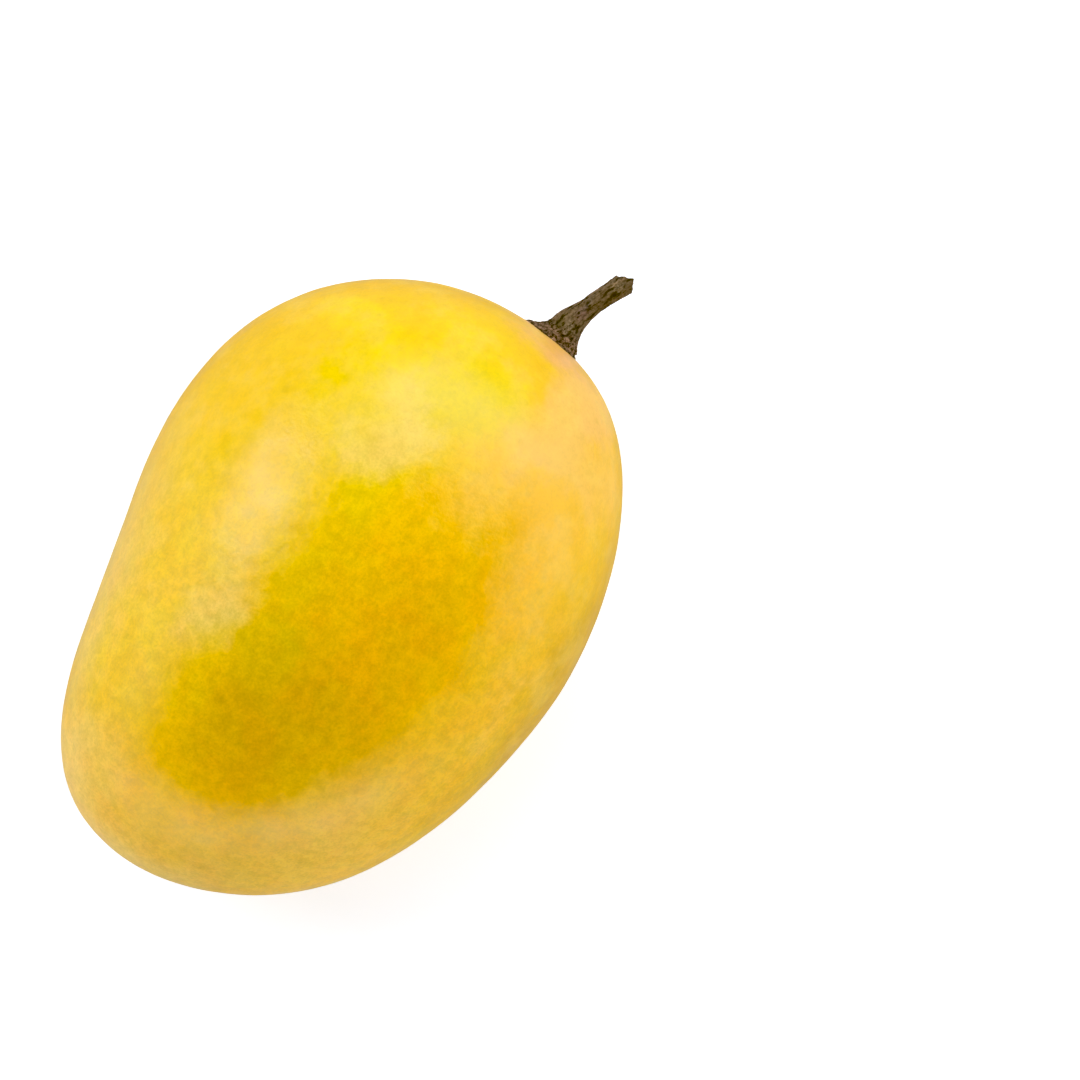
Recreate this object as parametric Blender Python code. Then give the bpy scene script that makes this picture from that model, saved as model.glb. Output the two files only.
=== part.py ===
"""Ripe mango with its short woody stem, lying on a broad cheek.

Metres, +Z up. The origin is the middle of the flat spot that the fruit rests on. +X runs along the
fruit to its stem end, +Y points to the belly edge with the hollow and the beak, -Y to the rounded back
edge, and +Z through the two cheeks.
"""

import math
from typing import NamedTuple

import bmesh
import bpy
import numpy as np
from mathutils import Vector
from mathutils.bvhtree import BVHTree

MM = 0.001

# Fruit, in millimetres
THICKNESS = 66.4            # through the two cheeks, before the flat spot
SPOT_DEPTH = 1.1            # how far the lower cheek is flattened where it rests
CHEEK_HALF_LENGTH = 55.0    # plain oval that the outline blends into on the cheeks
CHEEK_HALF_WIDTH = 39.0
FULLNESS = 0.06             # rounds the cheeks out beyond a plain ellipse
STEM_END_FULLNESS = 0.20    # makes the stem end thicker than the apex
APEX_TURN = 1.2             # lifts the apex and lowers the stem end, out of the seam plane
FRUIT_SUBDIVISIONS = 5

# Outline seen from above, along and across the fruit, from the stem's foot round by the belly edge
OUTLINE = (
    (53.5, -0.4),           # under the stem's foot
    (49.0, 17.8),
    (34.0, 33.9),           # belly shoulder
    (14.3, 39.4),
    (-3.3, 37.5),
    (-16.0, 34.3),          # hollow
    (-28.0, 31.4),
    (-42.0, 26.7),
    (-52.0, 18.8),          # beak
    (-56.5, 6.0),
    (-54.6, -6.5),          # apex
    (-46.0, -21.0),
    (-29.5, -32.6),
    (-8.0, -38.4),          # back
    (16.0, -38.2),
    (35.7, -31.2),
    (48.4, -20.3),          # back shoulder
    (52.6, -10.5),
)


class Station(NamedTuple):
    """One place along the stem, in millimetres and degrees."""

    along: float
    across: float
    radius: float
    lean: float             # of the stem's run, from +X towards +Y


# Stem, from the top of its foot to the swollen tip
STEM = (
    Station(54.1, -6.6, 3.90, -8.0),
    Station(55.4, -6.7, 3.05, -8.0),
    Station(57.0, -6.7, 2.62, -10.0),
    Station(58.7, -6.9, 2.25, -15.0),
    Station(60.4, -7.5, 1.87, -20.0),
    Station(62.5, -8.4, 1.67, -24.0),
    Station(64.7, -9.4, 1.70, -24.5),
    Station(66.6, -10.2, 1.88, -24.5),
)
TIP_RINGS = ((0.8, 1.93), (1.5, 1.35), (1.95, 0.7))     # distance past the last station, radius
TIP_REACH = 2.2
TIP_SLOPE = 0.30            # how far the snapped end leans back, per millimetre across it
FOOT = Station(53.1, -5.7, 5.3, -8.0)
FOOT_RINGS = ((0.35, 0.0), (0.7, 0.0), (1.0, 0.0), (0.98, 0.15), (0.88, 0.42))  # share of radius, thickness
STEM_LIFT = 1.0             # rise of the tip out of the seam plane
GAP = 0.3                   # clear space between the foot and the skin
STEM_SIDES = 28
STEPS_PER_STATION = 3
LOBES = 3
LOBE_DEPTH = 0.045
FOOT_LOBES = 5
FOOT_LOBE_DEPTH = 0.05
LOBE_START = 0.6            # radians

# Finishes: linear colour, roughness
SKIN = ((0.86, 0.52, 0.02, 1.0), 0.42)
BARK = ((0.085, 0.060, 0.032, 1.0), 0.85)

HALF_LENGTH = 0.5 * (max(x for x, _ in OUTLINE) - min(x for x, _ in OUTLINE))
MIDDLE = 0.5 * THICKNESS - SPOT_DEPTH


def clear_scene():
    """Removes whatever objects the file holds."""
    for thing in list(bpy.data.objects):
        bpy.data.objects.remove(thing, do_unlink=True)


def make_material(name, finish):
    """A Principled material of one colour and roughness."""
    colour, roughness = finish
    material = bpy.data.materials.new(name)
    material.use_nodes = True
    shader = material.node_tree.nodes["Principled BSDF"]
    shader.inputs["Base Color"].default_value = colour
    shader.inputs["Roughness"].default_value = roughness
    shader.inputs["Metallic"].default_value = 0.0
    return material


def add_object(name, shape, finish):
    """Turns a finished bmesh, in metres, into a smooth-shaded object."""
    bmesh.ops.recalc_face_normals(shape, faces=shape.faces[:])
    mesh = bpy.data.meshes.new(name)
    shape.to_mesh(mesh)
    shape.free()
    mesh.shade_smooth()
    mesh.materials.append(make_material(name, finish))
    thing = bpy.data.objects.new(name, mesh)
    bpy.context.collection.objects.link(thing)
    return thing


def closed_spline(points):
    """Radius as a smooth function of the angle: a periodic cubic spline through points in a plane."""
    polar = sorted((math.atan2(y, x) % math.tau, math.hypot(x, y)) for x, y in points)
    angle = np.array([a for a, _ in polar])
    radius = np.array([r for _, r in polar])
    count = len(polar)
    span = np.diff(np.append(angle, angle[0] + math.tau))
    matrix = np.zeros((count, count))
    side = np.zeros(count)
    for i in range(count):
        after = (i + 1) % count
        matrix[i, i - 1] += span[i - 1] / 6
        matrix[i, i] += (span[i - 1] + span[i]) / 3
        matrix[i, after] += span[i] / 6
        side[i] = (radius[after] - radius[i]) / span[i] - (radius[i] - radius[i - 1]) / span[i - 1]
    bend = np.linalg.solve(matrix, side)
    starts = angle - angle[0]

    def radius_at(theta):
        turned = (theta - angle[0]) % math.tau
        i = int(np.searchsorted(starts, turned, side="right")) - 1
        after = (i + 1) % count
        gone = turned - starts[i]
        left = span[i] - gone
        curved = (bend[i] * left ** 3 + bend[after] * gone ** 3) / (6 * span[i])
        start = (radius[i] / span[i] - bend[i] * span[i] / 6) * left
        end = (radius[after] / span[i] - bend[after] * span[i] / 6) * gone
        return curved + start + end

    return radius_at


def skin_point(direction, outline):
    """Point of the skin that lies in a unit direction from the fruit's middle, in millimetres."""
    level = math.hypot(direction.x, direction.y)    # 1 at the seam, 0 at the top of a cheek
    theta = math.atan2(direction.y, direction.x)
    oval = 1 / math.hypot(math.cos(theta) / CHEEK_HALF_LENGTH, math.sin(theta) / CHEEK_HALF_WIDTH)
    reach = level * (oval + (outline(theta) - oval) * level ** 2)
    x = reach * math.cos(theta)
    y = reach * math.sin(theta)
    share = x / HALF_LENGTH
    swell = (1 + FULLNESS * level ** 2) * (1 + STEM_END_FULLNESS * level ** 2 * share)
    z = MIDDLE + 0.5 * THICKNESS * direction.z * swell - APEX_TURN * share ** 3
    return Vector((x, y, max(z, 0.0)))


def build_fruit():
    """The fruit's closed skin, flattened where it rests."""
    outline = closed_spline(OUTLINE)
    shape = bmesh.new()
    bmesh.ops.create_icosphere(shape, subdivisions=FRUIT_SUBDIVISIONS, radius=1.0)
    for vertex in shape.verts:
        vertex.co = skin_point(vertex.co.normalized(), outline) * MM
    return shape


def smooth_run(stations, steps):
    """Stations with further ones between them, on a Catmull-Rom curve."""
    values = np.array(stations)
    ends = np.vstack([2 * values[0] - values[1], values, 2 * values[-1] - values[-2]])
    run = []
    for before, start, end, after in zip(ends, ends[1:], ends[2:], ends[3:]):
        for step in range(steps):
            t = step / steps
            bow = (2 * before - 5 * start + 4 * end - after) * t ** 2
            bow += (3 * start - before - 3 * end + after) * t ** 3
            run.append(Station(*(start + 0.5 * ((end - before) * t + bow))))
    run.append(stations[-1])
    return run


def seam_height(along):
    """Height of the stem's centre line over the floor."""
    share = (along - FOOT.along) / (STEM[-1].along - FOOT.along)
    foot_height = MIDDLE - APEX_TURN * (FOOT.along / HALF_LENGTH) ** 3
    return foot_height + STEM_LIFT * max(share, 0.0) ** 2


def stem_axes(station):
    """The stem's run at a station, and its two directions across."""
    lean = math.radians(station.lean)
    run = Vector((math.cos(lean), math.sin(lean), 0.0))
    side = Vector((-math.sin(lean), math.cos(lean), 0.0))
    return run, side, Vector((0.0, 0.0, 1.0))


def stem_ring(station, radius=None, ahead=0.0, slope=0.0, lobes=LOBES, depth=LOBE_DEPTH):
    """Points of one slightly lobed ring round the stem, in millimetres."""
    run, side, up = stem_axes(station)
    centre = Vector((station.along, station.across, seam_height(station.along)))
    points = []
    for k in range(STEM_SIDES):
        turn = math.tau * k / STEM_SIDES
        r = (radius or station.radius) * (1 + depth * math.cos(lobes * turn + LOBE_START))
        across = side * (r * math.cos(turn)) + up * (r * math.sin(turn))
        points.append(centre + across + run * (ahead - slope * r * math.cos(turn)))
    return points


def laid_on_skin(points, run, skin, clearance):
    """Points moved along the stem's run until they stand a clear space off the skin."""
    laid = []
    for point in points:
        start = (point + run * THICKNESS) * MM
        touched = skin.ray_cast(start, -run)[0]
        laid.append(touched / MM + run * clearance)
    return laid


def build_stem(skin):
    """The stem's closed surface, from the underside of its foot to its snapped tip."""
    run = stem_axes(FOOT)[0]
    rings = []
    for share, thickness in FOOT_RINGS:
        flat = stem_ring(FOOT, FOOT.radius * share, lobes=FOOT_LOBES, depth=FOOT_LOBE_DEPTH * share)
        rings.append(laid_on_skin(flat, run, skin, GAP + thickness))
    rings += [stem_ring(station) for station in smooth_run(STEM, STEPS_PER_STATION)]
    tip = STEM[-1]
    rings += [stem_ring(tip, radius, ahead, TIP_SLOPE) for ahead, radius in TIP_RINGS]
    foot_middle = Vector((FOOT.along, FOOT.across, seam_height(FOOT.along)))
    underside = laid_on_skin([foot_middle], run, skin, GAP)[0]
    end = sum(rings[-1], Vector()) / STEM_SIDES + stem_axes(tip)[0] * (TIP_REACH - TIP_RINGS[-1][0])

    shape = bmesh.new()
    loops = [[shape.verts.new(point * MM) for point in ring] for ring in rings]
    for lower, upper in zip(loops, loops[1:]):
        for k in range(STEM_SIDES):
            after = (k + 1) % STEM_SIDES
            shape.faces.new((lower[k], lower[after], upper[after], upper[k]))
    for loop, middle in ((loops[0], underside), (loops[-1], end)):
        hub = shape.verts.new(middle * MM)
        for k in range(STEM_SIDES):
            shape.faces.new((loop[k], loop[(k + 1) % STEM_SIDES], hub))
    return shape


def main():
    """Builds the fruit, and then the stem that follows its skin."""
    clear_scene()
    fruit = build_fruit()
    skin = BVHTree.FromBMesh(fruit)
    stem = build_stem(skin)
    add_object("fruit", fruit, SKIN)
    add_object("stem", stem, BARK)


main()
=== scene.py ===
"""Finished looks of a ripe mango with its woody stem, with the studio and the camera.

Sizes are in metres, or in millimetres where the words say so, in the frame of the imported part: +X runs
along the fruit to its stem end, +Y points to the belly edge and +Z goes through the two cheeks. The fruit
lies on its lower cheek, and the camera looks straight down on the upper one.
"""

from __future__ import annotations

import logging
import math
from dataclasses import dataclass
from enum import Enum
from typing import Callable, Sequence, Union

import bmesh
import bpy
import numpy as np
from mathutils import Matrix, Vector, noise
from mathutils.bvhtree import BVHTree


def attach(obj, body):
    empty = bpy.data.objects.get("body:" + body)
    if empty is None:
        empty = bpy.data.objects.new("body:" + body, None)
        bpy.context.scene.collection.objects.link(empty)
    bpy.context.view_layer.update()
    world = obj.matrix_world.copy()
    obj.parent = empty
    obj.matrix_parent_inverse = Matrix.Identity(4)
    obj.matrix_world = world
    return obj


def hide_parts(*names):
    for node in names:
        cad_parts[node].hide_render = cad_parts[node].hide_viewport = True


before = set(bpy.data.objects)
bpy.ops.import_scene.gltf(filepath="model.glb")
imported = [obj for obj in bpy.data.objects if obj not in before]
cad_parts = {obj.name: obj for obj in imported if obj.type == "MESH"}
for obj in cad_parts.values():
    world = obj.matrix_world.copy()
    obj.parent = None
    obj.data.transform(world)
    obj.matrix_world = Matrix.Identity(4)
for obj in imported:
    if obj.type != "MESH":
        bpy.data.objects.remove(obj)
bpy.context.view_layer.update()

MM = 0.001
BODY = "root"
PHOTO_SIDE = 1080           # pixels
SENSOR_WIDTH = 36.0         # millimetres of film
CLOUD_RANGE = (0.3, 0.7)    # holds nearly all values of a noise texture
HAIR = 0.01 * MM            # added to a length that may be nought, before a division by it

Colour = tuple[float, float, float]
Place = tuple[float, float, float]
Region = tuple[Place, Place]
Pairs = tuple[tuple[float, float], ...]
Source = Union[float, Sequence[float], bpy.types.NodeSocket]

log = logging.getLogger("mango")


class Blending(Enum):
    """How one colour goes over another."""

    OVER = "MIX"
    TIMES = "MULTIPLY"


class Sum(Enum):
    """Sums on single numbers."""

    TIMES = "MULTIPLY"
    MINUS = "SUBTRACT"


@dataclass(frozen=True)
class Clouds:
    """Soft clouds of noise.

    Attributes:
        scale: clouds per millimetre.
        detail: how many finer layers there are.
        rough: weight of the finer layers.
    """

    scale: float
    detail: float = 3.0
    rough: float = 0.55


@dataclass(frozen=True)
class Patch:
    """A soft patch of colour.

    Attributes:
        name: what it is called.
        centre: its middle, in millimetres.
        reach: its three half sizes, in millimetres.
        colour: its linear colour.
        edge: the soft share of its reach.
        strength: how much of it covers what is below.
    """

    name: str
    centre: Place
    reach: Place
    colour: Colour
    edge: float = 0.5
    strength: float = 0.85


class Sheet:
    """Node sheet of one material, with short calls for the nodes that the finishes share."""

    def __init__(self, name: str) -> None:
        """Starts a material.

        Args:
            name: the material's name.
        """
        self.material = bpy.data.materials.new(name)
        self.material.use_nodes = True
        self.tree = self.material.node_tree
        self.shader = self.tree.nodes["Principled BSDF"]
        where = self.node("ShaderNodeTexCoord").outputs["Object"]
        scaled = self.node("ShaderNodeVectorMath", {0: where, "Scale": 1 / MM}, operation="SCALE")
        self.place = scaled.outputs["Vector"]

    def node(self, kind: str, inputs: dict | None = None, **settings: object) -> bpy.types.Node:
        """Adds one node.

        Args:
            kind: Blender's name of the node's type.
            inputs: what goes into its sockets, by name or number.
            **settings: the node's own options.

        Returns:
            The new node.
        """
        made = self.tree.nodes.new(kind)
        for option, value in settings.items():
            setattr(made, option, value)
        for key, value in (inputs or {}).items():
            self.feed(made.inputs[key], value)
        return made

    def feed(self, socket: bpy.types.NodeSocket, value: Source) -> None:
        """Links a socket to another one, or sets its own value.

        Args:
            socket: the socket to feed.
            value: a number, a colour, a vector or an output socket.
        """
        if isinstance(value, bpy.types.NodeSocket):
            self.tree.links.new(value, socket)
        elif isinstance(socket.default_value, float):
            socket.default_value = value
        elif len(socket.default_value) == 4:
            socket.default_value = (*value[:3], 1.0)
        else:
            socket.default_value = value

    def sum(self, how: Sum, first: Source, second: Source) -> bpy.types.NodeSocket:
        """Works out one sum on two numbers."""
        return self.node("ShaderNodeMath", {0: first, 1: second}, operation=how.value).outputs[0]

    def cloud_node(self, clouds: Clouds, at: bpy.types.NodeSocket | None = None) -> bpy.types.Node:
        """Adds a noise texture.

        Args:
            clouds: how fine and how rough it is.
            at: where it is read, in millimetres.

        Returns:
            The noise's node, with a number and a colour as outputs.
        """
        return self.node("ShaderNodeTexNoise", {"Vector": at or self.place, "Scale": clouds.scale,
                                                "Detail": clouds.detail, "Roughness": clouds.rough})

    def clouds(self, clouds: Clouds, at: bpy.types.NodeSocket | None = None) -> bpy.types.NodeSocket:
        """Clouds as a number from 0 to 1, read at a place in millimetres."""
        return self.cloud_node(clouds, at).outputs["Fac"]

    def spread(self, value: Source, low: float, high: float, start: float = 0.0,
               end: float = 1.0) -> bpy.types.NodeSocket:
        """Maps a number from one range to another with soft ends.

        Args:
            value: the number.
            low: where the range starts.
            high: where it ends.
            start: the result at low.
            end: the result at high.

        Returns:
            The mapped number.
        """
        inputs = {"Value": value, "From Min": low, "From Max": high, "To Min": start, "To Max": end}
        return self.node("ShaderNodeMapRange", inputs, interpolation_type="SMOOTHSTEP").outputs["Result"]

    def mix(self, share: Source, below: Source, above: Source,
            how: Blending = Blending.OVER) -> bpy.types.NodeSocket:
        """Lays one colour over another.

        Args:
            share: how much of the upper one shows.
            below: the lower colour.
            above: the upper colour.
            how: the way they are blended.

        Returns:
            The mixed colour.
        """
        made = self.node("ShaderNodeMix", data_type="RGBA", blend_type=how.value)
        self.feed(made.inputs[0], share)
        self.feed(made.inputs[6], below)
        self.feed(made.inputs[7], above)
        return made.outputs[2]

    def shifted(self, clouds: Clouds, reach: float) -> bpy.types.NodeSocket:
        """The place, pushed about by clouds, which makes the edges of patches ragged.

        Args:
            clouds: what pushes it.
            reach: the largest push, in millimetres.

        Returns:
            The pushed place, in millimetres.
        """
        pushing = self.cloud_node(clouds).outputs["Color"]
        centred = self.node("ShaderNodeVectorMath", {0: pushing, 1: (0.5, 0.5, 0.5)},
                            operation="SUBTRACT").outputs["Vector"]
        push = self.node("ShaderNodeVectorMath", {0: centred, "Scale": 2 * reach},
                         operation="SCALE").outputs["Vector"]
        return self.node("ShaderNodeVectorMath", {0: self.place, 1: push}, operation="ADD").outputs["Vector"]

    def inside(self, at: bpy.types.NodeSocket, centre: Sequence[float], reach: Sequence[float],
               edge: float) -> bpy.types.NodeSocket:
        """How far a place lies inside an egg-shaped region.

        Args:
            at: the place, in millimetres.
            centre: the region's middle, in millimetres.
            reach: its three half sizes, in millimetres.
            edge: the soft share of its reach.

        Returns:
            1 inside, 0 outside.
        """
        away = self.node("ShaderNodeVectorMath", {0: at, 1: centre}, operation="SUBTRACT").outputs["Vector"]
        shrunk = self.node("ShaderNodeVectorMath", {0: away, 1: reach}, operation="DIVIDE").outputs["Vector"]
        length = self.node("ShaderNodeVectorMath", {0: shrunk}, operation="LENGTH").outputs["Value"]
        return self.spread(length, 1.0 - edge, 1.0 + edge, 1.0, 0.0)

    def patched(self, colour: Source, patches: Sequence[Patch], at: bpy.types.NodeSocket) -> Source:
        """Lays soft patches over a colour.

        Args:
            colour: the colour below.
            patches: the patches, from the lowest to the uppermost.
            at: where they are read, in millimetres.

        Returns:
            The patched colour.
        """
        for patch in patches:
            share = self.inside(at, patch.centre, patch.reach, patch.edge)
            colour = self.mix(self.sum(Sum.TIMES, share, patch.strength), colour, patch.colour)
            colour.node.label = patch.name
        return colour

    def tones(self, value: bpy.types.NodeSocket, span: float, blue: float = 1.0) -> bpy.types.NodeSocket:
        """Turns clouds into a factor about 1.

        Args:
            value: the clouds.
            span: how far the factor strays from 1.
            blue: how much farther it strays in blue.

        Returns:
            The factor as a colour.
        """
        warm = self.spread(value, *CLOUD_RANGE, 1.0 - span, 1.0 + span)
        cold = self.spread(value, *CLOUD_RANGE, 1.0 - blue * span, 1.0 + blue * span)
        return self.node("ShaderNodeCombineColor", {0: warm, 1: warm, 2: cold}).outputs["Color"]

    def relief(self, height: Source, depth: float, strength: float,
               below: bpy.types.NodeSocket | None = None) -> bpy.types.NodeSocket:
        """A bump that tilts the shading.

        Args:
            height: the height, from 0 to 1.
            depth: what a height of 1 stands for, in metres.
            strength: how much of it shows.
            below: a coarser bump under it.

        Returns:
            The tilted normal.
        """
        made = self.node("ShaderNodeBump", {"Height": height, "Distance": depth, "Strength": strength})
        if below is not None:
            self.feed(made.inputs["Normal"], below)
        return made.outputs["Normal"]

    def finish(self, colour: Source, roughness: Source, normal: bpy.types.NodeSocket,
               **constants: float) -> bpy.types.Material:
        """Feeds the shader.

        Args:
            colour: the base colour.
            roughness: the roughness.
            normal: the tilted normal.
            **constants: values of further sockets, with _ for a blank.

        Returns:
            The material.
        """
        self.feed(self.shader.inputs["Base Color"], colour)
        self.feed(self.shader.inputs["Roughness"], roughness)
        self.feed(self.shader.inputs["Normal"], normal)
        for name, value in constants.items():
            self.shader.inputs[name.replace("_", " ")].default_value = value
        return self.material


@dataclass(frozen=True)
class SkinFinish:
    """Waxy yellow skin of a ripe fruit.

    Attributes:
        ground: the colour under everything.
        patches: the patches of other colours, from the lowest to the uppermost; some also hold painted
            highlights, painted sheen or painted shadow.
        border: what makes the patches' borders ragged.
        border_push: how far it pushes them, in millimetres.
        bloom_and_sheen: pale waxy colour in blots over the shoulders, the edges and the apex, partly the
            skin's wax bloom and partly painted sheen.
        blots: the blots of bloom and painted sheen.
        blot_range: where in the clouds a blot starts and where it is full.
        blot_cover: how much of the bloom's and sheen's colour a full blot shows.
        sheenless_core: the darker core, left free of the bloom and the painted sheen, its middle and half
            sizes in millimetres.
        sheenless_core_edge: the soft share of its reach.
        mottled: the region with stronger mottling, likewise.
        mottled_edge: the soft share of its reach.
        unmottled: how much of the mottling shows outside it.
        blush: the broad clouds of greener and redder skin.
        blush_range: where in the clouds the skin is greenest and where it is reddest.
        greener: factor on the colour where the skin is still a little green.
        redder: factor on the colour where it has a slight blush.
        mottle: the fine mottling.
        mottle_span: how far it strays from the colour, as a share.
        grain: the finest grain.
        grain_span: how far it strays from the colour, as a share.
        blue_stray: how much farther both stray in blue.
        pore: factor on the colour in the small pores.
        pore_cells: cells per millimetre, each with one pore.
        pore_size: distance from a pore's middle where it is full and where it ends, in cells.
        pore_groups: the clouds in which pores show.
        pore_range: where in the clouds pores are faintest and where they are full.
        pore_least: how much of the faintest pores shows.
        wax: the clouds of duller wax.
        refraction: refractive index of the wax.
        roughness: how dull the wax is.
        wax_range: how far the roughness goes down and up in the clouds.
        wax_height: height of the wax's unevenness, in metres.
        mottle_height: height of the mottling, in metres.
        grain_height: height of the grain, in metres.
    """

    ground: Colour = (0.790, 0.455, 0.000)
    patches: tuple[Patch, ...] = (
        Patch("green_belly_side", (-1.0, 18.5, 60.0), (58.5, 19.0, 24.0), (0.880, 0.565, 0.010), 0.45),
        Patch("green_upper", (28.0, 2.0, 58.0), (21.0, 12.5, 24.0), (0.920, 0.645, 0.000), 0.60),
        Patch("amber_back_side", (-7.0, -18.0, 60.0), (62.0, 18.5, 24.0), (0.965, 0.545, 0.015), 0.30),
        Patch("deep_core", (-26.5, -9.0, 63.0), (20.0, 15.5, 15.0), (0.750, 0.425, 0.000), 0.25),
        Patch("deep_amber", (-1.5, -14.5, 64.0), (13.5, 8.5, 12.0), (0.865, 0.465, 0.000), 0.55),
        Patch("gold_low", (-37.0, -20.0, 50.0), (16.0, 10.0, 20.0), (0.970, 0.570, 0.050), 0.75),
        # Paler skin, partly its own colour and partly painted sheen.
        Patch("pale_and_sheen_apex", (-52.5, 13.5, 46.0), (13.0, 23.0, 18.0), (0.920, 0.600, 0.155), 0.50),
        # Peach skin, partly its own colour and partly painted sheen.
        Patch("peach_and_sheen_belly", (-33.0, 38.0, 46.0), (30.5, 11.0, 16.0), (0.800, 0.545, 0.150), 0.75),
        # Cream skin, partly wax bloom and partly a painted highlight.
        Patch("cream_and_highlight_middle", (26.0, 6.5, 62.0), (8.0, 7.0, 12.0), (0.945, 0.675, 0.120), 0.30),
        Patch("bright_top", (28.5, 15.0, 56.0), (9.5, 7.0, 12.0), (0.885, 0.635, 0.000), 0.50),
        Patch("lemon_crown", (38.5, 18.5, 52.0), (4.0, 13.0, 10.0), (0.860, 0.600, 0.000), 0.45),
        Patch("lemon_shoulder", (36.0, 0.0, 54.0), (7.0, 11.0, 9.0), (0.805, 0.605, 0.005), 0.30),
        # Peach skin, partly its own colour and partly painted sheen.
        Patch("peach_and_sheen_shoulder", (48.0, -17.0, 47.0), (11.5, 5.5, 14.0), (0.860, 0.490, 0.110), 0.45),
        # Peach skin, partly its own colour and partly painted sheen.
        Patch("peach_and_sheen_side", (35.5, -18.5, 48.0), (7.5, 10.0, 16.0), (0.890, 0.515, 0.080), 0.50),
        Patch("amber_shoulder", (21.0, -21.5, 58.0), (13.0, 7.5, 12.0), (0.915, 0.490, 0.000), 0.20),
        Patch("olive_spot", (-13.0, 2.5, 63.0), (6.5, 5.0, 12.0), (0.755, 0.505, 0.000), 0.60),
        # Cream skin, partly wax bloom and partly a painted highlight.
        Patch("cream_and_highlight_belly_low", (-12.5, 13.5, 60.0), (6.0, 5.0, 12.0), (0.880, 0.600, 0.110), 0.70),
        Patch("amber_belly", (-48.5, 2.5, 55.0), (17.0, 18.0, 12.0), (0.925, 0.510, 0.000), 0.70),
        # Greener, darker lower back edge: partly the skin's own green, partly painted shadow.
        Patch("green_and_shadow_rim", (15.0, -40.0, 38.0), (33.5, 6.0, 14.0), (0.670, 0.370, 0.000), 0.45),
        Patch("stem_blush", (55.5, -9.0, 40.0), (5.0, 11.0, 14.0), (0.810, 0.430, 0.150), 0.45),
    )
    border: Clouds = Clouds(0.08, 5.0, 0.64)
    border_push: float = 7.6
    # Partly the skin's wax bloom, partly painted sheen: the paleness of reflections.
    bloom_and_sheen: Colour = (0.90, 0.60, 0.095)
    blots: Clouds = Clouds(0.13, 4.0, 0.6)
    blot_range: tuple[float, float] = (0.46, 0.66)
    blot_cover: float = 0.32
    # The darker core, which gets no painted sheen.
    sheenless_core: Region = ((-14.0, -5.0, 62.0), (38.0, 25.0, 42.0))
    sheenless_core_edge: float = 0.5
    mottled: Region = ((-22.0, -6.0, 50.0), (45.0, 39.0, 60.0))
    mottled_edge: float = 0.4
    unmottled: float = 0.5
    blush: Clouds = Clouds(0.16, 3.0, 0.6)
    blush_range: tuple[float, float] = (0.35, 0.65)
    greener: Colour = (0.982, 1.018, 1.0)
    redder: Colour = (1.018, 0.98, 1.0)
    mottle: Clouds = Clouds(0.5, 3.0, 0.72)
    mottle_span: float = 0.088
    grain: Clouds = Clouds(2.3, 2.0, 0.6)
    grain_span: float = 0.056
    blue_stray: float = 1.6
    pore: Colour = (0.93, 0.935, 0.8)
    pore_cells: float = 0.27
    pore_size: tuple[float, float] = (0.06, 0.24)
    pore_groups: Clouds = Clouds(0.2)
    pore_range: tuple[float, float] = (0.4, 0.6)
    pore_least: float = 0.3
    wax: Clouds = Clouds(0.25)
    refraction: float = 1.54
    roughness: float = 0.33
    wax_range: tuple[float, float] = (-0.05, 0.07)
    wax_height: float = 0.06 * MM
    mottle_height: float = 0.03 * MM
    grain_height: float = 0.01 * MM

    def material(self) -> bpy.types.Material:
        """Builds the skin's material.

        Returns:
            The material.
        """
        sheet = Sheet("mango_skin")
        ragged = sheet.shifted(self.border, self.border_push)
        mottle = sheet.clouds(self.mottle)
        grain = sheet.clouds(self.grain)
        colour = sheet.patched(self.ground, self.patches, ragged)
        # Pale blots, partly wax bloom and partly painted sheen, kept off the darker core.
        colour = sheet.mix(self.bloom_and_sheen_cover(sheet, ragged), colour, self.bloom_and_sheen)
        shown = sheet.inside(ragged, *self.mottled, self.mottled_edge)
        shown = sheet.spread(shown, 0.0, 1.0, self.unmottled, 1.0)
        blush = sheet.spread(sheet.clouds(self.blush), *self.blush_range)
        tint = sheet.mix(blush, self.greener, self.redder)
        colour = sheet.mix(shown, colour, tint, Blending.TIMES)
        for cloud, span in ((mottle, self.mottle_span), (grain, self.grain_span)):
            colour = sheet.mix(shown, colour, sheet.tones(cloud, span, self.blue_stray), Blending.TIMES)
        pitted = sheet.mix(self.pores(sheet), (1.0, 1.0, 1.0), self.pore)
        colour = sheet.mix(1.0, colour, pitted, Blending.TIMES)
        wax = sheet.clouds(self.wax)
        glossiest, dullest = (self.roughness + change for change in self.wax_range)
        roughness = sheet.spread(wax, *CLOUD_RANGE, glossiest, dullest)
        normal = sheet.relief(wax, self.wax_height, 1.0)
        normal = sheet.relief(mottle, self.mottle_height, 1.0, normal)
        normal = sheet.relief(grain, self.grain_height, 1.0, normal)
        return sheet.finish(colour, roughness, normal, IOR=self.refraction)

    def bloom_and_sheen_cover(self, sheet: Sheet, at: bpy.types.NodeSocket) -> bpy.types.NodeSocket:
        """Blots of bloom and painted sheen, which leave the darker core free.

        Args:
            sheet: the skin's node sheet.
            at: where the darker core is read, in millimetres.

        Returns:
            How much of the bloom's and painted sheen's colour shows.
        """
        # The core is left without painted sheen.
        deep = sheet.inside(at, *self.sheenless_core, self.sheenless_core_edge)
        blots = sheet.spread(sheet.clouds(self.blots), *self.blot_range, 0.0, self.blot_cover)
        return sheet.sum(Sum.TIMES, blots, sheet.sum(Sum.MINUS, 1.0, deep))

    def pores(self, sheet: Sheet) -> bpy.types.NodeSocket:
        """Small soft pores, each at a random place in its cell.

        Args:
            sheet: the skin's node sheet.

        Returns:
            1 in the middle of a pore, 0 outside.
        """
        cells = sheet.node("ShaderNodeTexVoronoi", {"Vector": sheet.place, "Scale": self.pore_cells,
                                                    "Randomness": 1.0})
        spot = sheet.spread(cells.outputs["Distance"], *self.pore_size, 1.0, 0.0)
        some = sheet.spread(sheet.clouds(self.pore_groups), *self.pore_range, self.pore_least, 1.0)
        return sheet.sum(Sum.TIMES, spot, some)


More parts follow.
